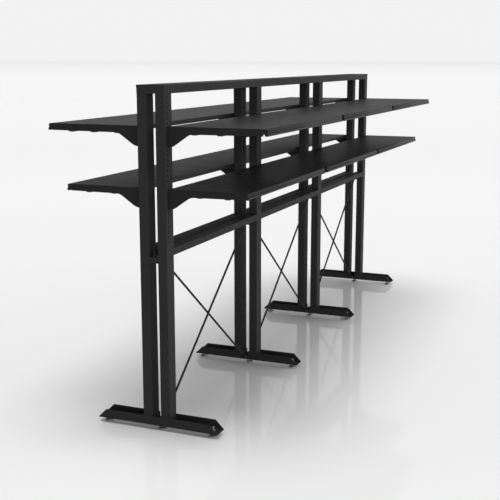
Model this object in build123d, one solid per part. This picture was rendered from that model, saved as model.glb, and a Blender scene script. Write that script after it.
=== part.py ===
from build123d import *
import math
import os

# Free-standing, double-sided cantilever shelving rack.
# Four trestle frames carry three bays of shelving, two levels deep on each side.
#
# Frame of reference: the rack stands on the floor at Z = 0 and the origin is the
# middle of its footprint.  X runs along the length, Y across it (left is +Y),
# Z up.  All sizes are millimetres.  Frames and bays are numbered from -X to +X.

# --- overall -----------------------------------------------------------------
overall_height = 1727.0
bay_pitch = 1181.0
bay_count = 3
frame_count = bay_count + 1

# --- posts -------------------------------------------------------------------
post_depth = 76.0          # along X
post_width = 50.0          # across Y
post_gap = 48.0            # clear gap between the two posts of a frame
post_wall = 2.0
frame_width = 2 * post_width + post_gap
outer_face = frame_width / 2
inner_face = post_gap / 2

# --- bracket slots in the outer face of every post ------------------------------
slot_pitch = 25.0
slot_width = 7.0
slot_height = 15.0
top_slot_z = 1669.5
slot_count = 29
end_slot_inset = 24.5      # slot column of an end frame, in from its outer face

# --- horizontal rails ---------------------------------------------------------
top_rail_height = 40.0
cap_thickness = 1.5
cap_lip = 14.0
mid_rail_bottom = 897.0
mid_rail_height = 38.0
rail_wall = 2.0

# --- mid cross bars, with the lugs that hold the braces -------------------------
cross_bar_bottom = 864.5
cross_bar_height = 30.0
cross_bar_depth = 36.0
lug_thickness = 5.0
lug_reach = 30.0           # half length of a lug along X
lug_height = 32.0

# --- feet ---------------------------------------------------------------------
foot_clearance = 24.0      # floor to the underside of the channel
foot_height = 48.0
foot_sheet = 2.5
foot_half_bottom = 337.0   # half length at the floor side, where the ends are pointed
foot_half_top = 291.0
foot_width = post_depth + 2 * foot_sheet
foot_web_top = foot_clearance + foot_sheet
foot_top = foot_clearance + foot_height
foot_notch_half = 20.0     # half width of the notch that lets a brace into the channel
foot_notch_bottom = 34.0

# --- levelling glides -----------------------------------------------------------
glide_offset = 297.0       # outer glides, from the middle of the foot
middle_glide_y = -14.0     # the middle glide stands clear of the lug
glide_disc_radius = 22.5
glide_disc_height = 9.0
glide_bevel = 3.0
glide_stem_radius = 5.0
glide_stem_top = 52.0
glide_hole_radius = 5.6
nut_bore_radius = 5.35
nut_height = 8.0
nut_across_flats = 17.0

# --- braces ---------------------------------------------------------------------
brace_radius = 6.0
brace_high_z = 920.0       # where a brace's axis would meet the middle of a frame, high end
brace_low_z = 17.0         # and low end
brace_high_inset = 16.0    # bolt of the high end, from the middle of the frame
brace_low_inset = 29.0     # bolt of the low end
tab_length = 26.0
tab_height = 15.0
tab_thickness = 5.0
bolt_radius = 3.6
bolt_hole_radius = 3.8
bolt_head_radius = 6.5
bolt_head_height = 4.5

# --- shelves ---------------------------------------------------------------------
shelf_sheet = 1.5
upper_shelf_z = 1532.0
lower_shelf_z = 1232.0
upper_depth = 507.5        # post face to the crest of the front lip
lower_depth = 410.0
lip_height = 33.5
lip_return = 9.0           # inner side of the lip, back from its crest
lip_tail = 8.0             # height of the upturned edge behind the lip
lip_end_cut = 18.5         # the lip stops short of the brackets of the middle frames
lip_end_plate = 3.0        # plate that closes the lip beside an end bracket
back_gap = 8.0             # back flange to the face of the posts
back_flange = 20.0

# --- brackets ----------------------------------------------------------------------
bracket_sheet = 3.0
bracket_height = 100.0     # height of the gusset at the post
arm_height = 36.0
arm_tip_height = 33.5
gusset_foot = 28.5         # where the gusset starts to rise, from the post face
gusset_rise = 2.0          # and how far it has risen there
gusset_head = 119.0        # where the gusset runs into the arm
gusset_radius = 55.0
arm_notch = (6.0, 25.0)    # length and height of the notch in the arm's lower tip
arm_clearance = 1.0        # arm tip to the lip of the shelf
ledge_width = 12.0         # ledge that the shelf lies on
ledge_clearance = 0.5      # ledge to the back flange of the shelf
tooth_count = 4
tooth_height = 9.0
tooth_start = 0.1          # the hooks' necks leave the plate just outside the post
hook_depth = 4.5
hook_drop = 6.0
hook_gap = 0.5

# --- stiffening channels under the shelves --------------------------------------------
stiffener_half_width = 15.0
stiffener_taper = 2.0
stiffener_bottom = 39.0
stiffener_gap = 1.0        # end of a channel to the ledge of the bracket
upper_stiffeners = (134.0, 268.0, 393.0)   # distances from the post face
lower_stiffeners = (160.0, 304.0)

# --- worked out from the above -----------------------------------------------------------
overall_length = bay_count * bay_pitch + post_depth
x_start = -overall_length / 2
rail_top = overall_height - cap_thickness
rail_bottom = rail_top - top_rail_height
cross_bar_top = cross_bar_bottom + cross_bar_height
sides = {"left": 1, "right": -1}
levels = {
    "upper": (upper_shelf_z, upper_depth, upper_stiffeners),
    "lower": (lower_shelf_z, lower_depth, lower_stiffeners),
}


def frame_x(index):
    """X of the middle of frame 0, 1, 2 or 3."""
    return x_start + post_depth / 2 + index * bay_pitch


def slot_x(index):
    """X of a frame's slot column and brackets: inset at the ends, central between bays."""
    if index == 0:
        return x_start + end_slot_inset
    if index == frame_count - 1:
        return -x_start - end_slot_inset
    return frame_x(index)


def block(x0, x1, y0, y1, z0, z1):
    """A box between two opposite corners."""
    box = Box(x1 - x0, y1 - y0, z1 - z0)
    return Pos((x0 + x1) / 2, (y0 + y1) / 2, (z0 + z1) / 2) * box


def polygon(points):
    """A flat face with straight sides."""
    return make_face(Polyline(*points, close=True))


def folded_sheet(points, thickness):
    """Section of a folded sheet: an open line given a thickness on its left-hand side."""
    directions = []
    for start, end in zip(points, points[1:]):
        length = math.dist(start, end)
        directions.append(((end[0] - start[0]) / length, (end[1] - start[1]) / length))
    inner = []
    for i, point in enumerate(points):
        before = directions[max(i - 1, 0)]
        after = directions[min(i, len(directions) - 1)]
        share = thickness / (1 + before[0] * after[0] + before[1] * after[1])
        inner.append((
            point[0] - share * (before[1] + after[1]),
            point[1] + share * (before[0] + after[0]),
        ))
    return polygon(points + inner[::-1])


def along_x(section, x0, x1):
    """Run a section drawn in (Y, Z) from x0 to x1."""
    return Pos(x0, 0, 0) * extrude(Plane.YZ * section, amount=x1 - x0)


def to_side(shape, side):
    """A shape built on the left side, moved to the side asked for."""
    if side > 0:
        return shape
    return mirror(shape, about=Plane.XZ)


def square_tube(x0, x1, y0, y1, z0, z1, closed_start=False, closed_end=False):
    """A rail along X: a rectangular tube, with a welded end plate where it is closed."""
    cut_start = x0 + rail_wall if closed_start else x0 - 1
    cut_end = x1 - rail_wall if closed_end else x1 + 1
    bore = block(cut_start, cut_end, y0 + rail_wall, y1 - rail_wall, z0 + rail_wall, z1 - rail_wall)
    return block(x0, x1, y0, y1, z0, z1) - bore


# --- posts ---------------------------------------------------------------------------------
def post(index):
    """The left post of a frame: a tube with a column of slots in its outer face."""
    x = frame_x(index)
    x0 = x - post_depth / 2
    x1 = x + post_depth / 2
    tube = block(x0, x1, inner_face, outer_face, foot_web_top, rail_bottom)
    tube -= block(
        x0 + post_wall, x1 - post_wall,
        inner_face + post_wall, outer_face - post_wall,
        foot_web_top - 1, rail_bottom + 1,
    )
    half_slot = slot_width / 2
    slots = []
    for row in range(slot_count):
        z = top_slot_z - row * slot_pitch
        slots.append(block(
            slot_x(index) - half_slot, slot_x(index) + half_slot,
            outer_face - post_wall - 1, outer_face + 1,
            z - slot_height / 2, z + slot_height / 2,
        ))
    return tube - slots


# --- feet ----------------------------------------------------------------------------------
def foot(index):
    """A channel across the rack, open upwards, with pointed ends and a brace lug."""
    x = frame_x(index)
    half = foot_width / 2
    walls = [(-half, foot_top), (-half, foot_clearance), (half, foot_clearance), (half, foot_top)]
    channel = extrude(Plane.XZ * folded_sheet(walls, foot_sheet), amount=foot_half_bottom, both=True)
    slope = [
        (foot_half_bottom, foot_web_top),
        (foot_half_bottom + 1, foot_web_top),
        (foot_half_bottom + 1, foot_top + 1),
        (foot_half_top, foot_top + 1),
        (foot_half_top, foot_top),
    ]
    corner = extrude(Plane.YZ * polygon(slope), amount=half + 1, both=True)
    channel -= [corner, mirror(corner, about=Plane.XZ)]
    inner_half = post_depth / 2
    lug = block(
        -inner_half, inner_half, -lug_thickness / 2, lug_thickness / 2,
        foot_web_top, foot_web_top + lug_height,
    )
    channel += lug
    cuts = [Pos(0, y, foot_web_top) * Cylinder(glide_hole_radius, 20) for y in glide_places().values()]
    for direction in bay_sides(index):
        plate_x = direction * (half - foot_sheet / 2)
        cuts.append(block(
            plate_x - foot_sheet, plate_x + foot_sheet,
            -foot_notch_half, foot_notch_half,
            foot_notch_bottom, foot_top + 1,
        ))
        cuts.append(bolt_hole(direction * brace_low_inset, brace_z(brace_low_inset, low=True)))
    return Pos(x, 0, 0) * (channel - cuts)


def glide_places():
    """Y of the three levelling glides under every foot."""
    return {"left": glide_offset, "middle": middle_glide_y, "right": -glide_offset}


def bay_sides(index):
    """Directions along X in which a frame has a bay, with braces and shelves."""
    directions = []
    if index > 0:
        directions.append(-1)
    if index < frame_count - 1:
        directions.append(1)
    return directions


def brace_z(inset, low):
    """Height of a brace's axis at a distance from the middle of a frame."""
    rise = (brace_high_z - brace_low_z) / bay_pitch
    return brace_low_z + rise * inset if low else brace_high_z - rise * inset


def bolt_hole(x, z):
    """A hole across the lug, in a frame's own X."""
    return Pos(x, 0, z) * Rot(90, 0, 0) * Cylinder(bolt_hole_radius, 2 * lug_thickness)


# --- levelling glides -------------------------------------------------------------------------
def glide(index, y):
    """A screw foot: a flat disc with a bevelled rim on a threaded stem."""
    disc = Cylinder(glide_disc_radius, glide_disc_height, align=(Align.CENTER, Align.CENTER, Align.MIN))
    disc = chamfer(disc.edges().group_by(Axis.Z)[-1], glide_bevel)
    stem_length = glide_stem_top - glide_disc_height
    stem = Cylinder(glide_stem_radius, stem_length, align=(Align.CENTER, Align.CENTER, Align.MIN))
    return Pos(frame_x(index), y, 0) * (disc + Pos(0, 0, glide_disc_height) * stem)


def locknut(index, y):
    """A hexagon nut on the web of the foot, round a glide's stem."""
    hexagon = RegularPolygon(nut_across_flats / 2, 6, major_radius=False)
    nut = extrude(hexagon, amount=nut_height)
    nut -= Cylinder(nut_bore_radius, 3 * nut_height)
    return Pos(frame_x(index), y, foot_web_top) * nut


# --- cross bars ------------------------------------------------------------------------------------
def cross_bar(index):
    """A tube between the posts with an upright lug on it; flush with the face of an end frame."""
    x = frame_x(index)
    middle = x
    if index == 0:
        middle = x - post_depth / 2 + cross_bar_depth / 2
    if index == frame_count - 1:
        middle = x + post_depth / 2 - cross_bar_depth / 2
    half = cross_bar_depth / 2
    bar = block(middle - half, middle + half, -inner_face, inner_face, cross_bar_bottom, cross_bar_top)
    bar -= block(
        middle - half + rail_wall, middle + half - rail_wall,
        -inner_face - 1, inner_face + 1,
        cross_bar_bottom + rail_wall, cross_bar_top - rail_wall,
    )
    lug = block(
        x - lug_reach, x + lug_reach, -lug_thickness / 2, lug_thickness / 2,
        cross_bar_top, cross_bar_top + lug_height,
    )
    holes = [
        Pos(x, 0, 0) * bolt_hole(direction * brace_high_inset, brace_z(brace_high_inset, low=False))
        for direction in bay_sides(index)
    ]
    return bar + lug - holes


def top_spacer(index):
    """The tube that closes the top of a frame between its two rails."""
    x = frame_x(index)
    half = post_depth / 2
    spacer = block(x - half, x + half, -inner_face, inner_face, rail_bottom, rail_top)
    spacer -= block(
        x - half + rail_wall, x + half - rail_wall,
        -inner_face - 1, inner_face + 1,
        rail_bottom + rail_wall, rail_top - rail_wall,
    )
    return spacer


# --- rails and caps -----------------------------------------------------------------------------------
def bay_ends(bay):
    """X where the rails of a bay start and stop: frame centres, or the rack's ends."""
    x0 = x_start if bay == 0 else frame_x(bay)
    x1 = -x_start if bay == bay_count - 1 else frame_x(bay + 1)
    return x0, x1


def top_rail(bay):
    """The left top rail of a bay, lying on the posts."""
    x0, x1 = bay_ends(bay)
    return square_tube(
        x0, x1, inner_face, outer_face, rail_bottom, rail_top,
        closed_start=bay == 0, closed_end=bay == bay_count - 1,
    )


def mid_rail(bay):
    """The left mid rail of a bay, between two posts."""
    x0 = frame_x(bay) + post_depth / 2
    x1 = frame_x(bay + 1) - post_depth / 2
    z1 = mid_rail_bottom + mid_rail_height
    return square_tube(x0, x1, inner_face, outer_face, mid_rail_bottom, z1)


def top_cap(bay):
    """A folded cover over both top rails of a bay, with a short lip on each side."""
    x0, x1 = bay_ends(bay)
    half = outer_face + cap_thickness
    lip_bottom = overall_height - cap_lip
    fold = [(half, lip_bottom), (half, overall_height), (-half, overall_height), (-half, lip_bottom)]
    return along_x(folded_sheet(fold, cap_thickness), x0, x1)


# --- braces ----------------------------------------------------------------------------------------------
def brace(bay, side):
    """One round brace with flattened ends; the left one falls towards +X, the right one towards -X."""
    high = Vector(frame_x(bay) + brace_high_inset, 0, brace_z(brace_high_inset, low=False))
    low = Vector(frame_x(bay + 1) - brace_low_inset, 0, brace_z(brace_low_inset, low=True))
    run = low - high
    length = run.length
    angle = math.degrees(math.atan2(-run.Z, run.X))
    rod_y = lug_thickness / 2 + brace_radius
    tab_y = lug_thickness / 2 + tab_thickness / 2
    rod = Pos(length / 2, rod_y, 0) * Rot(0, 90, 0) * Cylinder(brace_radius, length - tab_length)
    pieces = rod
    for x in (0, length):
        inward = tab_length / 4 if x == 0 else -tab_length / 4
        pieces += Pos(x + inward, tab_y, 0) * Box(tab_length, tab_thickness, tab_height)
    hole = Rot(90, 0, 0) * Cylinder(bolt_hole_radius, 4 * rod_y)
    pieces -= [hole, Pos(length, 0, 0) * hole]
    placed = Pos(high.X, 0, high.Z) * Rot(0, angle, 0) * pieces
    if side > 0:
        return placed
    middle = Plane(origin=((frame_x(bay) + frame_x(bay + 1)) / 2, 0, 0), z_dir=(1, 0, 0))
    return mirror(mirror(placed, about=middle), about=Plane.XZ)


def brace_bolt(index, direction, low):
    """The bolt through a lug and the tab of one brace, with its head on the tab's side."""
    inset = brace_low_inset if low else brace_high_inset
    side = direction if not low else -direction
    lug_face = lug_thickness / 2
    tab_face = lug_face + tab_thickness
    shank = Rot(90, 0, 0) * Cylinder(bolt_radius, tab_face + lug_face)
    shank = Pos(0, (tab_face - lug_face) / 2, 0) * shank
    hexagon = extrude(RegularPolygon(bolt_head_radius, 6), amount=bolt_head_height)
    head = Pos(0, tab_face, 0) * Rot(-90, 0, 0) * hexagon
    nut = Pos(0, -lug_face, 0) * Rot(90, 0, 0) * hexagon
    bolt = to_side(shank + head + nut, side)
    return Pos(frame_x(index) + direction * inset, 0, brace_z(inset, low)) * bolt


# --- shelves --------------------------------------------------------------------------------------------------
def shelf_ends(bay):
    """X where a shelf starts and stops: against the brackets on either side of its bay."""
    return slot_x(bay) + bracket_sheet / 2, slot_x(bay + 1) - bracket_sheet / 2


def lip_points(crest):
    """Front edge of a shelf, in (distance from the post face, height under the shelf top)."""
    return [
        (crest, 0),
        (crest + 6.0, -3.0),
        (crest + 6.5, -10.0),
        (crest + 4.5, -12.0),
        (crest + 5.0, -19.0),
        (crest + 8.0, -22.0),
        (crest + 9.5, -lip_height),
        (crest - lip_return, -lip_height),
        (crest - lip_return, -lip_height + lip_tail),
    ]


def shelf(bay, level):
    """A left shelf: a folded pan with a ribbed front lip, closed at both ends, and a back flange."""
    top, depth, _ = levels[level]
    x0, x1 = shelf_ends(bay)
    fold = [(back_gap, -back_flange), (back_gap, 0)] + lip_points(depth)
    fold = [(outer_face + d, top + h) for d, h in fold]
    section = folded_sheet(fold[::-1], shelf_sheet)
    pan = along_x(section, x0, x1)
    lip_start = outer_face + depth - lip_return - 1
    lip_stop = outer_face + depth + lip_height
    closure = [(outer_face + d, top + h) for d, h in lip_points(depth)[:-1]]
    closure.append((outer_face + depth - lip_return, top))
    for end, outward, is_rack_end in ((x0, -1, bay == 0), (x1, 1, bay == bay_count - 1)):
        if is_rack_end:
            a, b = sorted((end, end + outward * lip_end_plate))
        else:
            stop = end - outward * lip_end_cut
            a, b = sorted((end + outward, stop))
            pan -= block(a, b, lip_start, lip_stop, top - lip_height - 1, top - shelf_sheet)
            a, b = sorted((stop, stop - outward * shelf_sheet))
        pan += along_x(polygon(closure), a, b)
    return pan


def stiffener(bay, level, distance):
    """A tapered channel welded under a left shelf, parallel to its front."""
    top = levels[level][0]
    x0, x1 = shelf_ends(bay)
    y = outer_face + distance
    high = top - shelf_sheet
    low = top - stiffener_bottom
    foot_half = stiffener_half_width - stiffener_taper
    fold = [
        (y - stiffener_half_width, high),
        (y - foot_half, low),
        (y + foot_half, low),
        (y + stiffener_half_width, high),
    ]
    gap = ledge_width + stiffener_gap
    channel = along_x(folded_sheet(fold, shelf_sheet), x0 + gap, x1 - gap)
    room = 2 * stiffener_half_width
    return channel & block(x0, x1, y - room, y + room, low - 1, high)


# --- brackets ----------------------------------------------------------------------------------------------------
def bracket(index, level):
    """A left cantilever bracket: a gusseted plate, ledges for the shelves and hooks for the slots."""
    top, depth, _ = levels[level]
    x = slot_x(index)
    half = bracket_sheet / 2
    reach = depth - lip_return - arm_clearance
    notch_start = reach - arm_notch[0]
    lower_edge = FilletPolyline(
        (0, -bracket_height),
        (gusset_foot, gusset_rise - bracket_height),
        (gusset_head, -arm_height),
        (notch_start, -arm_tip_height),
        radius=gusset_radius,
    )
    upper_edge = Polyline(
        (notch_start, -arm_tip_height),
        (notch_start, -arm_notch[1]),
        (reach, -arm_notch[1]),
        (reach, 0),
        (0, 0),
        (0, -bracket_height),
    )
    plate_face = make_face(lower_edge.edges() + upper_edge.edges())
    plate = along_x(plate_face, -half, half)
    first_slot = -slot_pitch / 2
    for row in range(tooth_count):
        rest = first_slot - row * slot_pitch - slot_height / 2
        neck = [(tooth_start, rest), (tooth_start, rest + tooth_height)]
        back = -post_wall - hook_gap
        neck += [(back - hook_depth, rest + tooth_height), (back - hook_depth, rest - hook_drop)]
        neck += [(back, rest - hook_drop), (back, rest)]
        plate += along_x(polygon(neck), -half, half)
    under = -shelf_sheet
    ledge_start = back_gap + shelf_sheet + ledge_clearance
    for direction in bay_sides(index):
        a, b = sorted((0, direction * (half + ledge_width)))
        plate += block(a, b, ledge_start, reach, under - bracket_sheet, under)
    return Pos(x, outer_face, top) * plate


# --- the sub-parts -----------------------------------------------------------------------------------------------
def group(pieces):
    """Several separate solids that share one node."""
    solids = []
    for piece in pieces:
        solids.extend(piece.solids())
    return Compound(children=solids)


def build_nodes():
    """Every sub-part of the rack, by name."""
    frames = range(frame_count)
    bays = range(bay_count)
    nodes = {}
    for i in frames:
        for name, side in sides.items():
            nodes[f"post_{i + 1}_{name}"] = to_side(post(i), side)
        nodes[f"foot_{i + 1}"] = foot(i)
        for name, y in glide_places().items():
            nodes[f"glide_{i + 1}_{name}"] = glide(i, y)
    for bay in bays:
        number = bay + 1
        nodes[f"top_rails_bay_{number}"] = group(to_side(top_rail(bay), s) for s in sides.values())
        nodes[f"mid_rails_bay_{number}"] = group(to_side(mid_rail(bay), s) for s in sides.values())
        nodes[f"top_cap_bay_{number}"] = top_cap(bay)
        nodes[f"braces_bay_{number}"] = group(brace(bay, s) for s in sides.values())
    for level, (_, _, distances) in levels.items():
        for name, side in sides.items():
            for bay in bays:
                nodes[f"shelf_{level}_{name}_bay_{bay + 1}"] = to_side(shelf(bay, level), side)
            nodes[f"brackets_{level}_{name}"] = group(to_side(bracket(i, level), side) for i in frames)
            nodes[f"stiffeners_{level}_{name}"] = group(
                to_side(stiffener(bay, level, d), side) for bay in bays for d in distances
            )
    nodes["top_spacers"] = group(top_spacer(i) for i in frames)
    nodes["mid_cross_bars"] = group(cross_bar(i) for i in frames)
    nodes["glide_locknuts"] = group(locknut(i, y) for i in frames for y in glide_places().values())
    nodes["brace_bolts"] = group(
        brace_bolt(i, direction, low)
        for i in frames for direction in bay_sides(i) for low in (False, True)
    )
    return nodes


os.makedirs("parts", exist_ok=True)
for node_name, shape in build_nodes().items():
    export_step(shape, f"parts/{node_name}.step")
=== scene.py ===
"""Looks of a free-standing, double-sided cantilever shelving rack.

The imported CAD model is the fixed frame: every piece takes its place from the box
of the CAD node, or of the solid in that node, that it stands for.
"""

import logging
import math
from dataclasses import dataclass
from enum import Enum
from typing import Callable, Iterable

import bmesh
import bpy
from mathutils import Matrix, Vector


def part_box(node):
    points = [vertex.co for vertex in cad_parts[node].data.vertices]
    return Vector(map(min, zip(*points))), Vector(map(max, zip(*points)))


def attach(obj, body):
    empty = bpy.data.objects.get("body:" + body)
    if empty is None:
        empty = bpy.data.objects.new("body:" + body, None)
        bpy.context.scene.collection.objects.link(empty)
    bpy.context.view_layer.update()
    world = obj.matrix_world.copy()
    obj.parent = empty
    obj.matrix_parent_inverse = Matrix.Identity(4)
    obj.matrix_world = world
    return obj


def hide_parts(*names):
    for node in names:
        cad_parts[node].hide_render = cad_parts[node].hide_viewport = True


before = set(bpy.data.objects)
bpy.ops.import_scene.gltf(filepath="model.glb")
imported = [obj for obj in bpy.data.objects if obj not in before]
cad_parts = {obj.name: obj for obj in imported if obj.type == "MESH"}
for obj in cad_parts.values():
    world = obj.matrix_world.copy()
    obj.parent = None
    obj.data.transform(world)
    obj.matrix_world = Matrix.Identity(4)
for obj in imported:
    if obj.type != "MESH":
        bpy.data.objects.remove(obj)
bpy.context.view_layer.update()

MM = 0.001
WELD = 0.001 * MM  # points closer than this are one point
FLAT = math.radians(0.5)  # faces that meet at less than this are one face
SHARP = math.radians(40)  # edges that turn by more than this can be rounded
CREASE = math.radians(30)  # edges of a turned piece that stay crisp
ALONG = 0.999  # share of an edge's length that lies along its axis
Colour = tuple[float, float, float, float]
Line = list[tuple[float, float]]
log = logging.getLogger("rack")


class Slot(Enum):
    """Material slots of the record."""

    FRAME = "frame_paint"
    SHELF = "shelf_paint"
    ZINC = "zinc_plate"


class Side(Enum):
    """The two long sides of the rack, with the direction of each along Y."""

    LEFT = 1
    RIGHT = -1

    @property
    def word(self) -> str:
        """The side's word in node names."""
        return self.name.lower()


class Level(Enum):
    """The two shelf levels."""

    UPPER = "upper"
    LOWER = "lower"


# --- shader nodes ----------------------------------------------------------------


class Wire:
    """A number socket that arithmetic can be written on."""

    def __init__(self, bench: "Bench", socket: bpy.types.NodeSocket) -> None:
        """Keep the socket and the bench that makes nodes after it.

        Args:
            bench: maker of the nodes that the arithmetic needs.
            socket: output socket of a node.
        """
        self.bench = bench
        self.socket = socket

    def _math(self, operation: str, first: object, second: object) -> "Wire":
        """Add one Math node.

        Args:
            operation: name of the Math operation.
            first: first value, a Wire or a number.
            second: second value, a Wire or a number.

        Returns:
            The node's result.
        """
        values = {0: first, 1: second}
        return self.bench.node("ShaderNodeMath", {"operation": operation}, values)["Value"]

    def __add__(self, other: object) -> "Wire":
        """Sum."""
        return self._math("ADD", self, other)

    def __sub__(self, other: object) -> "Wire":
        """Difference."""
        return self._math("SUBTRACT", self, other)

    def __rsub__(self, other: object) -> "Wire":
        """Difference, with the number first."""
        return self._math("SUBTRACT", other, self)

    def __mul__(self, other: object) -> "Wire":
        """Product."""
        return self._math("MULTIPLY", self, other)

    __radd__ = __add__
    __rmul__ = __mul__

    def above(self, low: float, high: float) -> "Wire":
        """A soft step.

        Args:
            low: value below which the result is 0.
            high: value above which the result is 1.

        Returns:
            The step between 0 and 1.
        """
        settings = {"interpolation_type": "SMOOTHSTEP"}
        values = {"Value": self, "From Min": low, "From Max": high}
        return self.bench.node("ShaderNodeMapRange", settings, values)["Result"]


class Made:
    """A node that gives its outputs as wires."""

    def __init__(self, bench: "Bench", node: bpy.types.Node) -> None:
        """Keep the node.

        Args:
            bench: maker of the node.
            node: the node itself.
        """
        self.bench = bench
        self.node = node

    def __getitem__(self, name: str) -> Wire:
        """One output, by name."""
        found = [s for s in self.node.outputs if s.name == name and s.enabled]
        return Wire(self.bench, found[0])


class Bench:
    """Makes the nodes of one node tree."""

    def __init__(self, tree: bpy.types.NodeTree) -> None:
        """Start from an empty tree.

        Args:
            tree: node tree of a material or world.
        """
        self.tree = tree
        tree.nodes.clear()

    def node(self, kind: str, settings: dict | None = None, values: dict | None = None) -> Made:
        """Make one node.

        Args:
            kind: Blender's name of the node type.
            settings: properties, set before the sockets.
            values: numbers, colours or wires for the sockets, by name or index.

        Returns:
            The node with its outputs as wires.
        """
        made = self.tree.nodes.new(kind)
        for key, value in (settings or {}).items():
            setattr(made, key, value)
        for key, value in (values or {}).items():
            socket = self._input(made, key)
            if isinstance(value, Wire):
                self.tree.links.new(value.socket, socket)
            else:
                socket.default_value = value
        return Made(self, made)

    @staticmethod
    def _input(node: bpy.types.Node, key: str | int) -> bpy.types.NodeSocket:
        """The input of that index, or the enabled one of that name."""
        if isinstance(key, int):
            return node.inputs[key]
        return next(s for s in node.inputs if s.name == key and s.enabled)

    def places(self) -> Wire:
        """The piece's own coordinates, in metres."""
        return self.node("ShaderNodeTexCoord")["Object"]

    def noise(self, scale: float, detail: float = 2.0) -> Wire:
        """Cloudy noise between 0 and 1.

        Args:
            scale: cells per metre.
            detail: octaves of finer noise.

        Returns:
            The noise.
        """
        values = {"Vector": self.places(), "Scale": scale, "Detail": detail}
        return self.node("ShaderNodeTexNoise", None, values)["Fac"]

    def blend(self, share: Wire, first: object, second: object) -> Wire:
        """Mix two colours.

        Args:
            share: how much of the second shows, 0 to 1.
            first: a colour or wire.
            second: a colour or wire.

        Returns:
            The mixed colour.
        """
        values = {"Factor": share, "A": first, "B": second}
        return self.node("ShaderNodeMix", {"data_type": "RGBA"}, values)["Result"]

    def finish(self, values: dict) -> None:
        """Close the tree with a Principled surface.

        Args:
            values: numbers, colours or wires for the shader's sockets.
        """
        surface = self.node("ShaderNodeBsdfPrincipled", None, values)
        self.node("ShaderNodeOutputMaterial", None, {"Surface": surface["BSDF"]})


def grey(value: float) -> Colour:
    """A neutral colour."""
    return (value, value, value, 1.0)


def scaled(colour: Colour, factor: float) -> Colour:
    """A colour made lighter or darker, its alpha kept at 1."""
    return tuple(c * factor for c in colour[:3]) + (1.0,)


# --- finishes --------------------------------------------------------------------


@dataclass(frozen=True)
class PowderCoat:
    """Charcoal powder coat with a fine orange-peel texture.

    Sizes are in millimetres and scales in cells per metre. Dust and sheen is the
    share of pale colour on upward faces: partly dust, partly painted sheen on the tops.
    """

    name: str
    colour: Colour
    roughness: float
    ior: float = 1.15
    peel_size: float = 1.6
    peel_height: float = 0.02
    # pale colour on upward faces: partly dust, partly a painted sheen that lightens the tops
    dust_and_sheen: float = 0.0
    dust_and_sheen_colour: Colour = (0.10, 0.098, 0.094, 1.0)
    dust_and_sheen_roughness: float = 0.3
    cloud_scale: float = 2.2
    smear_scale: float = 14.0
    lightening: float = 1.15
    cloud_share: float = 0.55
    peel_share: float = 0.45
    unevenness: float = 0.03
    bump_strength: float = 0.4

    def material(self) -> bpy.types.Material:
        """Build the coat's material."""
        made = bpy.data.materials.new(self.name)
        made.use_nodes = True
        bench = Bench(made.node_tree)
        peel = bench.noise(1 / (self.peel_size * MM), 2.0)
        cloud = bench.noise(self.cloud_scale, 4.0)
        smear = bench.noise(self.smear_scale, 3.0)
        normal = bench.node("ShaderNodeNewGeometry")["Normal"]
        height = bench.node("ShaderNodeSeparateXYZ", None, {"Vector": normal})["Z"]
        # upward faces get pale colour: partly settled dust, partly painted sheen that lightens
        # the tops
        dust_and_sheen_share = height.above(0.85, 0.98) * cloud.above(0.35, 0.75) * self.dust_and_sheen
        shade = cloud.above(0.3, 0.7) * self.cloud_share
        shade = shade + peel.above(0.35, 0.7) * self.peel_share
        coat = bench.blend(shade, self.colour, scaled(self.colour, self.lightening))
        # mix in the dust and the painted sheen on the tops
        coat = bench.blend(dust_and_sheen_share, coat, self.dust_and_sheen_colour)
        rough = smear.above(0.35, 0.7) * self.unevenness + cloud * self.unevenness
        rough = rough + (self.roughness - self.unevenness)
        relief = {
            "Strength": self.bump_strength,
            "Distance": self.peel_height * MM,
            "Height": peel,
        }
        bump = bench.node("ShaderNodeBump", None, relief)["Normal"]
        bench.finish({
            "Base Color": coat,
            "Roughness": rough + dust_and_sheen_share * self.dust_and_sheen_roughness,
            "Normal": bump,
            "IOR": self.ior,
        })
        return made


@dataclass(frozen=True)
class ZincPlate:
    """Bright zinc plate on turned and rolled steel.

    Sizes are in millimetres and scales in cells per metre.
    """

    name: str
    colour: Colour
    roughness: float
    cloud_scale: float = 90.0
    grain_scale: float = 1500.0
    grain_height: float = 0.01
    darkening: float = 0.72
    unevenness: float = 0.15
    bump_strength: float = 0.4

    def material(self) -> bpy.types.Material:
        """Build the plate's material."""
        made = bpy.data.materials.new(self.name)
        made.use_nodes = True
        bench = Bench(made.node_tree)
        cloud = bench.noise(self.cloud_scale, 3.0)
        grain = bench.noise(self.grain_scale, 2.0)
        duller = scaled(self.colour, self.darkening)
        tone = bench.blend(cloud.above(0.3, 0.7), duller, self.colour)
        relief = {
            "Strength": self.bump_strength,
            "Distance": self.grain_height * MM,
            "Height": grain,
        }
        bump = bench.node("ShaderNodeBump", None, relief)["Normal"]
        bench.finish({
            "Base Color": tone,
            "Metallic": 1.0,
            "Roughness": cloud * self.unevenness + self.roughness,
            "Normal": bump,
        })
        return made


@dataclass(frozen=True)
class StudioFloor:
    """Pale, faintly glossy floor."""

    name: str = "studio_floor"
    colour: Colour = (0.965, 0.965, 0.965, 1.0)
    roughness: float = 0.06
    ior: float = 1.32

    def material(self) -> bpy.types.Material:
        """Build the floor's material."""
        made = bpy.data.materials.new(self.name)
        made.use_nodes = True
        Bench(made.node_tree).finish(
            {"Base Color": self.colour, "Roughness": self.roughness, "IOR": self.ior}
        )
        return made


# --- mesh work -------------------------------------------------------------------


@dataclass(frozen=True)
class Room:
    """The space between two corners, in metres."""

    low: Vector
    high: Vector

    @property
    def middle(self) -> Vector:
        """Its middle point."""
        return (self.low + self.high) / 2

    @property
    def size(self) -> Vector:
        """Its length along each axis."""
        return self.high - self.low


def room_of(node: str) -> Room:
    """The room that a CAD node takes."""
    return Room(*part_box(node))


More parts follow.
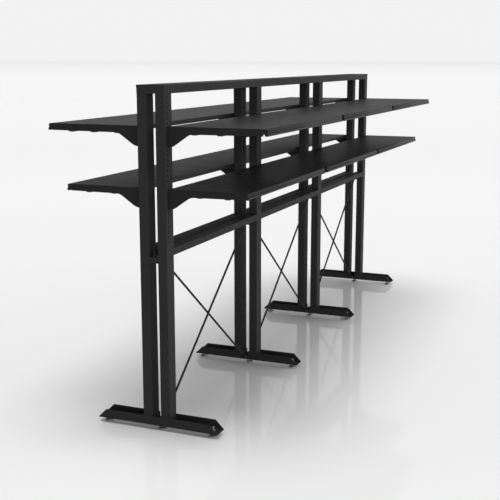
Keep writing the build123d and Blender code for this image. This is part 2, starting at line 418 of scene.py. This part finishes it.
def copy_of(node: str) -> bmesh.types.BMesh:
    """A joined-up copy of a CAD node, with its flat faces whole.

    Args:
        node: name of the CAD node.

    Returns:
        The copy, as a new mesh.
    """
    work = bmesh.new()
    work.from_mesh(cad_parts[node].data)
    bmesh.ops.remove_doubles(work, verts=work.verts, dist=WELD)
    bmesh.ops.dissolve_limit(
        work, angle_limit=FLAT, verts=work.verts, edges=work.edges
    )
    for face in work.faces:
        face.smooth = False
    return work


def solids_of(node: str) -> list[Room]:
    """The room of each separate solid in a CAD node, in a fixed order.

    Args:
        node: name of the CAD node.

    Returns:
        One room per solid, from -X to +X, then by Y and Z.
    """
    work = bmesh.new()
    work.from_mesh(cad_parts[node].data)
    bmesh.ops.remove_doubles(work, verts=work.verts, dist=WELD)
    left = set(work.verts)
    rooms = []
    for start in work.verts:
        if start not in left:
            continue
        left.discard(start)
        reached = [start]
        for vert in reached:
            for edge in vert.link_edges:
                other = edge.other_vert(vert)
                if other in left:
                    left.discard(other)
                    reached.append(other)
        places = [v.co.copy() for v in reached]
        low = Vector(min(p[i] for p in places) for i in range(3))
        high = Vector(max(p[i] for p in places) for i in range(3))
        rooms.append(Room(low, high))
    work.free()
    return sorted(rooms, key=lambda r: tuple(round(c, 5) for c in r.middle))


def round_edges(
    work: bmesh.types.BMesh,
    radius: float,
    wanted: Callable[[bmesh.types.BMEdge], bool],
    segments: int = 3,
) -> None:
    """Round the sharp outer edges that are wanted.

    Args:
        work: mesh to change.
        radius: radius in metres.
        wanted: says whether an edge is rounded.
        segments: flats across the round.
    """
    chosen = [
        e for e in work.edges
        if e.is_manifold and e.is_convex
        and e.calc_face_angle(0.0) > SHARP and wanted(e)
    ]
    if not chosen:
        return
    made = bmesh.ops.bevel(
        work, geom=chosen, offset=radius, offset_type="OFFSET", segments=segments,
        profile=0.5, affect="EDGES", clamp_overlap=True, material=-1,
    )
    for face in made["faces"]:
        face.smooth = True


def runs_along(axis: int, shortest: float) -> Callable[[bmesh.types.BMEdge], bool]:
    """A test for long edges along one axis.

    Args:
        axis: 0, 1 or 2.
        shortest: least length in metres.

    Returns:
        The test.
    """

    def test(edge: bmesh.types.BMEdge) -> bool:
        """Whether the edge is long and along the axis."""
        run = edge.verts[1].co - edge.verts[0].co
        return run.length > shortest and abs(run[axis]) > ALONG * run.length

    return test


def folded_sheet(line: Line, ends: tuple[float, float], bend: float) -> bmesh.types.BMesh:
    """A strip folded along a line in (Y, Z) and run along X, with no thickness yet.

    Args:
        line: corners of the outer face.
        ends: X of the start and of the end.
        bend: outer radius of the bends.

    Returns:
        The open strip, its faces pointing to the right of the line.
    """
    work = bmesh.new()
    verts = [work.verts.new((ends[0], y, z)) for y, z in line]
    edges = [work.edges.new(pair) for pair in zip(verts, verts[1:])]
    made = bmesh.ops.extrude_edge_only(work, edges=edges)["geom"]
    moved = [g for g in made if isinstance(g, bmesh.types.BMVert)]
    bmesh.ops.translate(work, verts=moved, vec=(ends[1] - ends[0], 0, 0))
    work.normal_update()
    first = next(f for f in work.faces if verts[0] in f.verts and verts[1] in f.verts)
    run = verts[1].co - verts[0].co
    if first.normal.dot(Vector((0, run.z, -run.y))) < 0:
        bmesh.ops.reverse_faces(work, faces=work.faces)
    folds = [e for e in work.edges if len(e.link_faces) == 2]
    made = bmesh.ops.bevel(
        work, geom=folds, offset=bend, offset_type="OFFSET", segments=4,
        profile=0.5, affect="EDGES", clamp_overlap=True, material=-1,
    )
    for face in made["faces"]:
        face.smooth = True
    return work


def plate(outline: Line, ends: tuple[float, float]) -> bmesh.types.BMesh:
    """A flat plate across X.

    Args:
        outline: its corners in (Y, Z).
        ends: X of its two faces.

    Returns:
        The closed plate.
    """
    work = bmesh.new()
    flat = work.faces.new([work.verts.new((ends[0], y, z)) for y, z in outline])
    made = bmesh.ops.extrude_face_region(work, geom=[flat])["geom"]
    moved = [g for g in made if isinstance(g, bmesh.types.BMVert)]
    bmesh.ops.translate(work, verts=moved, vec=(ends[1] - ends[0], 0, 0))
    bmesh.ops.recalc_face_normals(work, faces=work.faces)
    return work


def thicken(work: bmesh.types.BMesh, thickness: float) -> None:
    """Give a strip its thickness, behind its faces.

    Args:
        work: open strip.
        thickness: sheet thickness in metres.
    """
    bmesh.ops.solidify(work, geom=work.faces, thickness=thickness)


def to_right(work: bmesh.types.BMesh) -> None:
    """Turn a left-hand piece into a right-hand one."""
    bmesh.ops.scale(work, verts=work.verts, vec=(1, -1, 1))
    bmesh.ops.reverse_faces(work, faces=work.faces)


def join(into: bmesh.types.BMesh, piece: bmesh.types.BMesh) -> None:
    """Add a mesh to another and drop it.

    Args:
        into: mesh that grows.
        piece: mesh that is added, then freed.
    """
    spare = bpy.data.meshes.new("spare")
    piece.to_mesh(spare)
    piece.free()
    into.from_mesh(spare)
    bpy.data.meshes.remove(spare)


@dataclass
class Workshop:
    """Turns meshes into finished pieces that ride on the rack."""

    finishes: dict[Slot, bpy.types.Material]

    def deliver(
        self,
        name: str,
        work: bmesh.types.BMesh,
        slot: Slot,
        nodes: Iterable[str],
        body: str = "rack",
    ) -> bpy.types.Object:
        """Make an object of a mesh, in place of some CAD nodes.

        Args:
            name: name of the piece.
            work: its mesh, in the rack's frame.
            slot: material slot of its finish.
            nodes: CAD nodes that it stands for.
            body: body that it rides on.

        Returns:
            The piece.
        """
        mesh = bpy.data.meshes.new(name)
        work.to_mesh(mesh)
        faces = len(work.faces)
        work.free()
        piece = bpy.data.objects.new(name, mesh)
        bpy.context.scene.collection.objects.link(piece)
        mesh.materials.append(self.finishes[slot])
        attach(piece, body)
        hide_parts(*nodes)
        log.info("%s: %d faces, %s", name, faces, slot.value)
        return piece


# --- sub-assemblies --------------------------------------------------------------


@dataclass
class TrestleFrames:
    """Posts, feet, top spacers and mid cross bars of the four frames.

    The post, foot and bar edges are the shortest edges that get a round.
    """

    workshop: Workshop
    count: int = 4
    tube_radius: float = 2.6 * MM
    bar_radius: float = 1.8 * MM
    fold_radius: float = 3.0 * MM
    burr: float = 0.5 * MM
    post_edge: float = 300 * MM
    foot_edge: float = 60 * MM
    bar_edge: float = 30 * MM

    def build(self) -> None:
        """Build every piece of the frames."""
        for number in range(1, self.count + 1):
            for side in Side:
                self.post(f"post_{number}_{side.word}")
            self.foot(f"foot_{number}")
        self.bars("top_spacers")
        self.bars("mid_cross_bars")

    def post(self, node: str) -> None:
        """A slotted tube with rounded corners."""
        work = copy_of(node)
        round_edges(work, self.tube_radius, runs_along(2, self.post_edge), 4)
        self.workshop.deliver(f"{node}_tube", work, Slot.FRAME, [node])

    def foot(self, node: str) -> None:
        """A folded channel with round bends and broken top edges."""
        work = copy_of(node)
        floor_side = room_of(node).low.z
        long = runs_along(1, self.foot_edge)
        round_edges(
            work, self.fold_radius,
            lambda e: long(e) and e.verts[0].co.z < floor_side + MM, 4,
        )
        top = room_of(node).high.z
        round_edges(
            work, self.burr, lambda e: long(e) and e.verts[0].co.z > top - MM, 2
        )
        self.workshop.deliver(f"{node}_channel", work, Slot.FRAME, [node])

    def bars(self, node: str) -> None:
        """Short tubes between the posts, with their lugs."""
        work = copy_of(node)
        round_edges(work, self.bar_radius, runs_along(1, self.bar_edge), 3)
        self.workshop.deliver(f"{node}_set", work, Slot.FRAME, [node])


@dataclass
class LongRails:
    """Top rails, mid rails and the folded caps over the top rails.

    The rail edge is the shortest edge that gets a round.
    """

    workshop: Workshop
    bays: int = 3
    tube_radius: float = 2.2 * MM
    cap_sheet: float = 1.5 * MM
    cap_bend: float = 2.5 * MM
    rail_edge: float = 300 * MM

    def build(self) -> None:
        """Build every piece of the rails."""
        for bay in range(1, self.bays + 1):
            for word in ("top_rails", "mid_rails"):
                node = f"{word}_bay_{bay}"
                work = copy_of(node)
                round_edges(work, self.tube_radius, runs_along(0, self.rail_edge), 4)
                self.workshop.deliver(f"{node}_tubes", work, Slot.FRAME, [node])
            self.cap(f"top_cap_bay_{bay}")

    def cap(self, node: str) -> None:
        """A cover folded down on both sides."""
        room = room_of(node)
        low, high = room.low, room.high
        line = [(high.y, low.z), (high.y, high.z), (low.y, high.z), (low.y, low.z)]
        work = folded_sheet(line, (low.x, high.x), self.cap_bend)
        thicken(work, self.cap_sheet)
        self.workshop.deliver(f"{node}_sheet", work, Slot.FRAME, [node])


@dataclass
class CrossedBraces:
    """Round brace rods with flattened ends, and the bolts that hold them.

    A neck step is a share of the neck's length and how flat the rod still is there.
    The ring is stretched by the spread, over its thickness and its height, and then
    cut off at the flat end's size.
    """

    workshop: Workshop
    bays: int = 3
    rod_radius: float = 6.0 * MM
    tab_size: tuple[float, float] = (5.0 * MM, 15.0 * MM)
    tab_length: float = 26.0 * MM
    tab_shoulder: float = 6.0 * MM
    neck: float = 30.0 * MM
    neck_steps: tuple[tuple[float, float], ...] = ((0.35, 0.6), (0.7, 0.15), (1.0, 0.0))
    spread: tuple[float, float] = (1.2, 0.62)
    ring_sides: int = 32
    angle_rounds: int = 8
    lug: float = 5.0 * MM
    bolt_radius: float = 3.6 * MM
    washer: tuple[float, float] = (7.0 * MM, 0.9 * MM)
    head_height: float = 3.6 * MM
    head_chamfer: float = 0.7 * MM

    def build(self) -> None:
        """Build the rods of every bay and all bolts."""
        for bay in range(1, self.bays + 1):
            self.rods(f"braces_bay_{bay}")
        self.bolts("brace_bolts")

    def rods(self, node: str) -> None:
        """The two rods of a bay, one each side of the lugs."""
        work = bmesh.new()
        for room in solids_of(node):
            side = 1 if room.middle.y > 0 else -1
            join(work, self.rod(room, side))
        self.workshop.deliver(f"{node}_rods", work, Slot.FRAME, [node])

    def rod(self, room: Room, side: int) -> bmesh.types.BMesh:
        """One rod, drawn out of a ring that is moved and flattened on its way.

        Args:
            room: the space that the rod takes.
            side: +1 for the rod that falls towards +X, -1 for the other.

        Returns:
            The rod in place.
        """
        thick, tall = self.tab_size
        rise, run = room.size.z, room.size.x
        angle = math.atan2(rise, run)
        for _ in range(self.angle_rounds):
            reach_x = run - tall * math.sin(angle)
            reach_z = rise - tall * math.cos(angle)
            angle = math.atan2(reach_z, reach_x)
        length = math.hypot(reach_x, reach_z)
        tab_y = self.lug / 2 + thick / 2
        rod_y = self.lug / 2 + self.rod_radius
        stations = [(0.0, 1.0), (self.tab_length - self.tab_shoulder, 1.0)]
        stations += [
            (self.tab_length + self.neck * share, flat) for share, flat in self.neck_steps
        ]
        stations += [(length - along, flat) for along, flat in reversed(stations)]
        work = bmesh.new()
        ring = bmesh.ops.create_circle(work, segments=self.ring_sides, radius=1.0)["verts"]
        edges = list(work.edges)
        shapes = []
        for index, (along, flat) in enumerate(stations):
            if index:
                made = bmesh.ops.extrude_edge_only(work, edges=edges)["geom"]
                ring = [g for g in made if isinstance(g, bmesh.types.BMVert)]
                edges = [g for g in made if isinstance(g, bmesh.types.BMEdge)]
            shapes.append((ring, along, flat))
        for ring, along, flat in shapes:
            middle = tab_y * flat + rod_y * (1 - flat)
            for vert in ring:
                around = Vector((vert.co.x, vert.co.y))
                oblong = Vector((
                    max(-thick / 2, min(thick / 2, around.x * thick * self.spread[0])),
                    max(-tall / 2, min(tall / 2, around.y * tall * self.spread[1])),
                ))
                across = oblong * flat + around * self.rod_radius * (1 - flat)
                vert.co = Vector((along - length / 2, middle + across.x, across.y))
        open_ends = [e for e in work.edges if e.is_boundary]
        bmesh.ops.holes_fill(work, edges=open_ends, sides=2 * self.ring_sides)
        bmesh.ops.recalc_face_normals(work, faces=work.faces)
        for face in work.faces:
            face.smooth = len(face.verts) == 4
        turn = Matrix.Rotation(angle, 4, "Y")
        bmesh.ops.transform(work, matrix=turn, verts=work.verts)
        if side < 0:
            half_turn = Matrix.Rotation(math.pi, 3, "Z")
            bmesh.ops.rotate(work, cent=(0, 0, 0), matrix=half_turn, verts=work.verts)
        place = Vector((room.middle.x, 0, room.middle.z))
        bmesh.ops.translate(work, verts=work.verts, vec=place)
        return work

    def bolts(self, node: str) -> None:
        """Bolts with chamfered heads and nuts, and a washer under each."""
        work = bmesh.new()
        for room in solids_of(node):
            bolt = bmesh.new()
            head = self.washer[1] + self.head_height
            half = room.size.x / 2
            for start, way in ((room.high.y, -1), (room.low.y, 1)):
                join(bolt, self.hexagon(half, head - self.washer[1], way, start))
                under = start + way * (head - self.washer[1] / 2)
                join(bolt, self.disc(self.washer[0], self.washer[1], under))
            join(bolt, self.disc(self.bolt_radius, room.size.y - 2 * head, room.middle.y))
            vec = Vector((room.middle.x, 0, room.middle.z))
            bmesh.ops.translate(bolt, verts=bolt.verts, vec=vec)
            join(work, bolt)
        self.workshop.deliver(f"{node}_set", work, Slot.ZINC, [node])

    @staticmethod
    def disc(radius: float, depth: float, y: float) -> bmesh.types.BMesh:
        """A round disc across Y, centred at y."""
        work = bmesh.new()
        bmesh.ops.create_cone(
            work, cap_ends=True, segments=24, radius1=radius, radius2=radius, depth=depth
        )
        bmesh.ops.rotate(
            work, cent=(0, 0, 0), matrix=Matrix.Rotation(math.pi / 2, 3, "X"), verts=work.verts
        )
        bmesh.ops.translate(work, verts=work.verts, vec=(0, y, 0))
        return work

    def hexagon(self, radius: float, depth: float, way: int, start: float) -> bmesh.types.BMesh:
        """A hexagon head across Y, chamfered on its outer face.

        Args:
            radius: radius to its corners.
            depth: height of the head.
            way: direction from the outer face inwards, +1 or -1.
            start: Y of the outer face.

        Returns:
            The head.
        """
        work = bmesh.new()
        bmesh.ops.create_cone(
            work, cap_ends=True, segments=6, radius1=radius, radius2=radius, depth=depth
        )
        rim = [e for e in work.edges if all(v.co.z > 0 for v in e.verts)]
        bmesh.ops.bevel(
            work, geom=rim, offset=self.head_chamfer, offset_type="OFFSET", segments=1,
            profile=0.5, affect="EDGES", clamp_overlap=True, material=-1,
        )
        turn = Matrix.Rotation(math.pi / 2 * (1 if way > 0 else -1), 3, "X")
        bmesh.ops.rotate(work, cent=(0, 0, 0), matrix=turn, verts=work.verts)
        bmesh.ops.translate(work, verts=work.verts, vec=(0, start + way * depth / 2, 0))
        return work


@dataclass
class Shelving:
    """Shelves, the channels under them and the brackets that carry them.

    The least edge is the shortest bracket edge that gets a round, and the deck skin
    is how far below the top a face still counts as the deck. The ribs are points of
    the lip in millimetres, outwards from its crest and up from the deck.
    """

    workshop: Workshop
    bays: int = 3
    sheet: float = 1.5 * MM
    bend: float = 1.6 * MM
    lip_reach: float = 9.5 * MM
    lip_cut: float = 18.5 * MM
    end_plate: float = 3.0 * MM
    lip_tail: float = 8.0 * MM
    lip_return: float = 9.0 * MM
    back_flange: float = 20.0 * MM
    taper: float = 2.0 * MM
    plate_edge: float = 0.45 * MM
    least_edge: float = 1.2 * MM
    deck_skin: float = 0.05 * MM
    ribs: tuple[tuple[float, float], ...] = (
        (0.0, 0.0), (6.0, -3.0), (6.5, -10.0), (4.5, -12.0), (5.0, -19.0), (8.0, -22.0),
    )

    def build(self) -> None:
        """Build both levels on both sides."""
        for level in Level:
            for side in Side:
                tag = f"{level.value}_{side.word}"
                for bay in range(1, self.bays + 1):
                    self.shelf(f"shelf_{tag}_bay_{bay}", side, bay)
                self.stiffeners(f"stiffeners_{tag}")
                self.brackets(f"brackets_{tag}")

    def shelf(self, node: str, side: Side, bay: int) -> None:
        """One shelf pan with its ribbed, closed lip and its back flange.

        Args:
            node: CAD node of the shelf.
            side: side of the rack that it is on.
            bay: number of its bay, from 1.
        """
        room = room_of(node)
        inner, outer = sorted(abs(y) for y in (room.low.y, room.high.y))
        top, low = room.high.z, room.low.z
        crest = outer - self.lip_reach
        back = crest - self.lip_return
        ribbed = [(crest + y * MM, top + z * MM) for y, z in reversed(self.ribs)]
        line = [(back, low + self.lip_tail), (back, low), (outer, low)]
        line += ribbed + [(inner, top), (inner, top - self.back_flange)]
        at_low_end, at_high_end = bay == 1, bay == self.bays
        ends = (
            room.low.x + self.end_plate * at_low_end,
            room.high.x - self.end_plate * at_high_end,
        )
        stops = (
            ends[0] + self.lip_cut * (not at_low_end),
            ends[1] - self.lip_cut * (not at_high_end),
        )
        work = folded_sheet(line, ends, self.bend)
        for stop in set(stops) - set(ends):
            bmesh.ops.bisect_plane(
                work, geom=[*work.verts, *work.edges, *work.faces], dist=WELD,
                plane_co=(stop, 0, 0), plane_no=(1, 0, 0),
            )
        spare = []
        for face in work.faces:
            middle = face.calc_center_median()
            beyond = not stops[0] < middle.x < stops[1]
            below_deck = middle.z < top - self.deck_skin
            if beyond and below_deck and middle.y > crest - 2 * self.lip_return:
                spare.append(face)
        bmesh.ops.delete(work, geom=spare, context="FACES")
        thicken(work, self.sheet)
        outline = [(back, low), (outer, low)] + ribbed + [(back, top)]
        closures = (
            (room.low.x, ends[0]) if at_low_end else (stops[0], stops[0] + self.sheet),
            (ends[1], room.high.x) if at_high_end else (stops[1] - self.sheet, stops[1]),
        )
        for closure in closures:
            join(work, plate(outline, closure))
        if side is Side.RIGHT:
            to_right(work)
        self.workshop.deliver(f"{node}_pan", work, Slot.SHELF, [node])

    def stiffeners(self, node: str) -> None:
        """The tapered channels under the shelves of one level and side."""
        work = bmesh.new()
        for room in solids_of(node):
            low, high = room.low, room.high
            line = [
                (high.y, high.z), (high.y - self.taper, low.z),
                (low.y + self.taper, low.z), (low.y, high.z),
            ]
            channel = folded_sheet(line, (low.x, high.x), 2 * self.bend)
            thicken(channel, self.sheet)
            join(work, channel)
        self.workshop.deliver(f"{node}_channels", work, Slot.SHELF, [node])

    def brackets(self, node: str) -> None:
        """The gusseted plates of one level and side, with broken edges."""
        work = copy_of(node)
        round_edges(work, self.plate_edge, lambda e: e.calc_length() > self.least_edge, 2)
        self.workshop.deliver(f"{node}_plates", work, Slot.SHELF, [node])


@dataclass
class LevellingFeet:
    """Screw glides under the feet, with the locknuts on their stems.

    The crest is the stretch of each thread turn, as shares of the pitch, where the
    thread is at its full radius.
    """

    workshop: Workshop
    frames: int = 4
    places: tuple[str, ...] = ("left", "middle", "right")
    disc_height: float = 9.0 * MM
    bevel: float = 3.0 * MM
    rim: float = 0.8 * MM
    collar_reach: float = 2.0 * MM
    collar_rise: float = 1.2 * MM
    thread_start: float = 2.0 * MM
    tip: float = 0.4 * MM
    stem_radius: float = 5.0 * MM
    pitch: float = 1.5 * MM
    thread_depth: float = 0.75 * MM
    crest: tuple[float, float] = (0.45, 0.6)
    bore_gap: float = 0.35 * MM
    nut_chamfer: float = 0.8 * MM
    steps: int = 40

    def build(self) -> None:
        """Build all glides and locknuts."""
        for number in range(1, self.frames + 1):
            for place in self.places:
                self.glide(f"glide_{number}_{place}")
        self.locknuts("glide_locknuts")

    def turned(self, outline: Line, at: Vector) -> bmesh.types.BMesh:
        """Turn an outline of (radius, height) about the upright axis at a point.

        Args:
            outline: from the axis at the bottom to the axis at the top.
            at: foot of the axis.

        Returns:
            The turned solid.
        """
        work = bmesh.new()
        verts = [work.verts.new((r, 0, z)) for r, z in outline]
        edges = [work.edges.new(pair) for pair in zip(verts, verts[1:])]
        bmesh.ops.spin(
            work, geom=[*verts, *edges], cent=(0, 0, 0), axis=(0, 0, 1),
            angle=math.tau, steps=self.steps, use_merge=True,
        )
        bmesh.ops.remove_doubles(work, verts=work.verts, dist=WELD)
        bmesh.ops.recalc_face_normals(work, faces=work.faces)
        for face in work.faces:
            face.smooth = True
        work.normal_update()
        for edge in work.edges:
            if edge.calc_face_angle(0.0) > CREASE:
                edge.smooth = False
        bmesh.ops.translate(work, verts=work.verts, vec=at)
        return work

    def glide(self, node: str) -> None:
        """A bevelled disc on a threaded stem."""
        room = room_of(node)
        radius = room.size.x / 2
        top = room.size.z
        core = self.stem_radius - self.thread_depth
        outline = [
            (0.0, 0.0), (radius - self.rim, 0.0), (radius, self.rim),
            (radius, self.disc_height - self.bevel),
            (radius - self.bevel, self.disc_height),
            (self.stem_radius + self.collar_reach, self.disc_height),
            (core, self.disc_height + self.collar_rise),
        ]
        z = self.disc_height + self.thread_start
        while z + self.pitch < top - self.thread_depth:
            outline.append((core, z))
            outline += [(self.stem_radius, z + share * self.pitch) for share in self.crest]
            z += self.pitch
        outline += [(core, z), (core, top - self.tip), (core - self.tip, top), (0.0, top)]
        at = Vector((room.middle.x, room.middle.y, room.low.z))
        work = self.turned(outline, at)
        self.workshop.deliver(f"{node}_screw_foot", work, Slot.ZINC, [node], node)

    def locknuts(self, node: str) -> None:
        """Hexagon nuts with chamfered corners and an open bore."""
        work = bmesh.new()
        for room in solids_of(node):
            corner = max(room.size.x, room.size.y) / 2
            height = room.size.z
            nut = bmesh.new()
            bore = self.stem_radius + self.bore_gap
            for z, rise in ((0.0, 1), (height, -1)):
                for radius, lift in (
                    (corner - self.nut_chamfer, z),
                    (corner, z + rise * self.nut_chamfer),
                    (bore, z),
                ):
                    ring = bmesh.ops.create_circle(nut, segments=6, radius=radius)["verts"]
                    bmesh.ops.translate(nut, verts=ring, vec=(0, 0, lift))
            levels = self.loops(nut)
            order = [levels[2], levels[0], levels[1], levels[4], levels[3], levels[5], levels[2]]
            for lower, upper in zip(order, order[1:]):
                bmesh.ops.bridge_loops(nut, edges=[*lower, *upper])
            bmesh.ops.recalc_face_normals(nut, faces=nut.faces)
            if room.size.y > room.size.x:
                turn = Matrix.Rotation(math.pi / 6, 3, "Z")
                bmesh.ops.rotate(nut, cent=(0, 0, 0), matrix=turn, verts=nut.verts)
            at = Vector((room.middle.x, room.middle.y, room.low.z))
            bmesh.ops.translate(nut, verts=nut.verts, vec=at)
            join(work, nut)
        self.workshop.deliver(f"{node}_set", work, Slot.ZINC, [node])

    @staticmethod
    def loops(work: bmesh.types.BMesh) -> list[list[bmesh.types.BMEdge]]:
        """The six-sided rings of a mesh, in the order they were made."""
        edges = list(work.edges)
        return [edges[i:i + 6] for i in range(0, len(edges), 6)]


# --- studio ----------------------------------------------------------------------


@dataclass
class Studio:
    """Plain pale floor, soft surrounding light and the camera.

    The surroundings glow with `behind_glow` at the back and `ahead_glow` more in
    front and along the skyline, `high_dimming` is the share they lose overhead, and
    `right_glow` is added on the right. Each pair is where such a change starts and
    where it is complete, along one axis of the unit sphere.
    """

    eye: tuple[float, float, float] = (-5.8626, -2.1524, 1.8470)
    heading: float = 22.066
    tilt: float = 11.336
    lens: float = 68.66
    sensor: float = 36.0
    floor_half: float = 600.0
    ceiling_spread: float = 40.0
    ceiling_power: float = 1.7
    ceiling_place: tuple[float, float, float] = (0.0, 0.0, 5.0)
    behind_glow: float = 0.3
    ahead_glow: float = 0.59
    right_glow: float = 3.2
    high_dimming: float = 0.55
    ahead_range: tuple[float, float] = (-0.7, 0.2)
    high_range: tuple[float, float] = (0.12, 0.45)
    right_range: tuple[float, float] = (0.05, 0.8)
    skyline_range: tuple[float, float] = (0.1, 0.25)

    def build(self) -> None:
        """Set up floor, light and camera."""
        self.floor()
        self.world()
        self.ceiling()
        self.camera()

    def floor(self) -> None:
        """A flat sheet under the rack."""
        work = bmesh.new()
        bmesh.ops.create_grid(work, x_segments=1, y_segments=1, size=self.floor_half)
        mesh = bpy.data.meshes.new("floor")
        work.to_mesh(mesh)
        work.free()
        mesh.materials.append(StudioFloor().material())
        sheet = bpy.data.objects.new("floor", mesh)
        bpy.context.scene.collection.objects.link(sheet)

    def world(self) -> None:
        """Surroundings that are white at the horizon and dimmer higher up and at the back."""
        world = bpy.data.worlds.new("studio")
        bpy.context.scene.world = world
        world.use_nodes = True
        bench = Bench(world.node_tree)
        way = bench.node("ShaderNodeTexCoord")["Generated"]
        parts = bench.node("ShaderNodeSeparateXYZ", None, {"Vector": way})
        ahead = parts["X"].above(*self.ahead_range)
        high = parts["Z"].above(*self.high_range)
        right = (parts["Y"] * -1.0).above(*self.right_range)
        skyline = 1.0 - parts["Z"].above(*self.skyline_range)
        strength = self.behind_glow + ahead * self.ahead_glow
        strength = strength * (1.0 - high * self.high_dimming)
        strength = strength + skyline * (1.0 - ahead) * self.ahead_glow
        strength = strength + right * (1.0 - high) * self.right_glow
        values = {"Color": grey(1.0), "Strength": strength}
        glow = bench.node("ShaderNodeBackground", None, values)
        bench.node("ShaderNodeOutputWorld", None, {"Surface": glow["Background"]})

    def ceiling(self) -> None:
        """A wide, soft light straight from above."""
        light = bpy.data.lights.new("ceiling", "SUN")
        light.angle = math.radians(self.ceiling_spread)
        light.energy = self.ceiling_power
        lamp = bpy.data.objects.new("ceiling", light)
        lamp.location = self.ceiling_place
        bpy.context.scene.collection.objects.link(lamp)

    def camera(self) -> None:
        """A camera at eye height, past the near end of the rack."""
        data = bpy.data.cameras.new("camera")
        data.lens = self.lens
        data.sensor_width = self.sensor
        data.clip_end = 4 * self.floor_half
        camera = bpy.data.objects.new("camera", data)
        turn, down = math.radians(self.heading), math.radians(self.tilt)
        look = Vector((
            math.cos(turn) * math.cos(down), math.sin(turn) * math.cos(down), -math.sin(down)
        ))
        camera.location = self.eye
        camera.rotation_euler = look.to_track_quat("-Z", "Y").to_euler()
        bpy.context.scene.collection.objects.link(camera)
        bpy.context.scene.camera = camera
        bpy.context.scene.view_settings.view_transform = "Standard"


def main() -> None:
    """Build the rack's looks and the studio."""
    logging.basicConfig(level=logging.INFO, format="%(name)s %(message)s")
    workshop = Workshop({
        Slot.FRAME: PowderCoat(
            "frame_coat", (0.028, 0.028, 0.0285, 1.0), 0.50, ior=1.08
        ).material(),
        Slot.SHELF: PowderCoat(
            # the shelf tops get a little pale dust and painted sheen
            "shelf_coat", (0.019, 0.019, 0.0195, 1.0), 0.46, ior=1.12, peel_size=1.3, dust_and_sheen=0.05
        ).material(),
        Slot.ZINC: ZincPlate("zinc_plate", (0.42, 0.43, 0.44, 1.0), 0.30).material(),
    })
    for assembly in (
        TrestleFrames(workshop),
        LongRails(workshop),
        CrossedBraces(workshop),
        Shelving(workshop),
        LevellingFeet(workshop),
        Studio(),
    ):
        assembly.build()


if __name__ == "__main__":
    main()
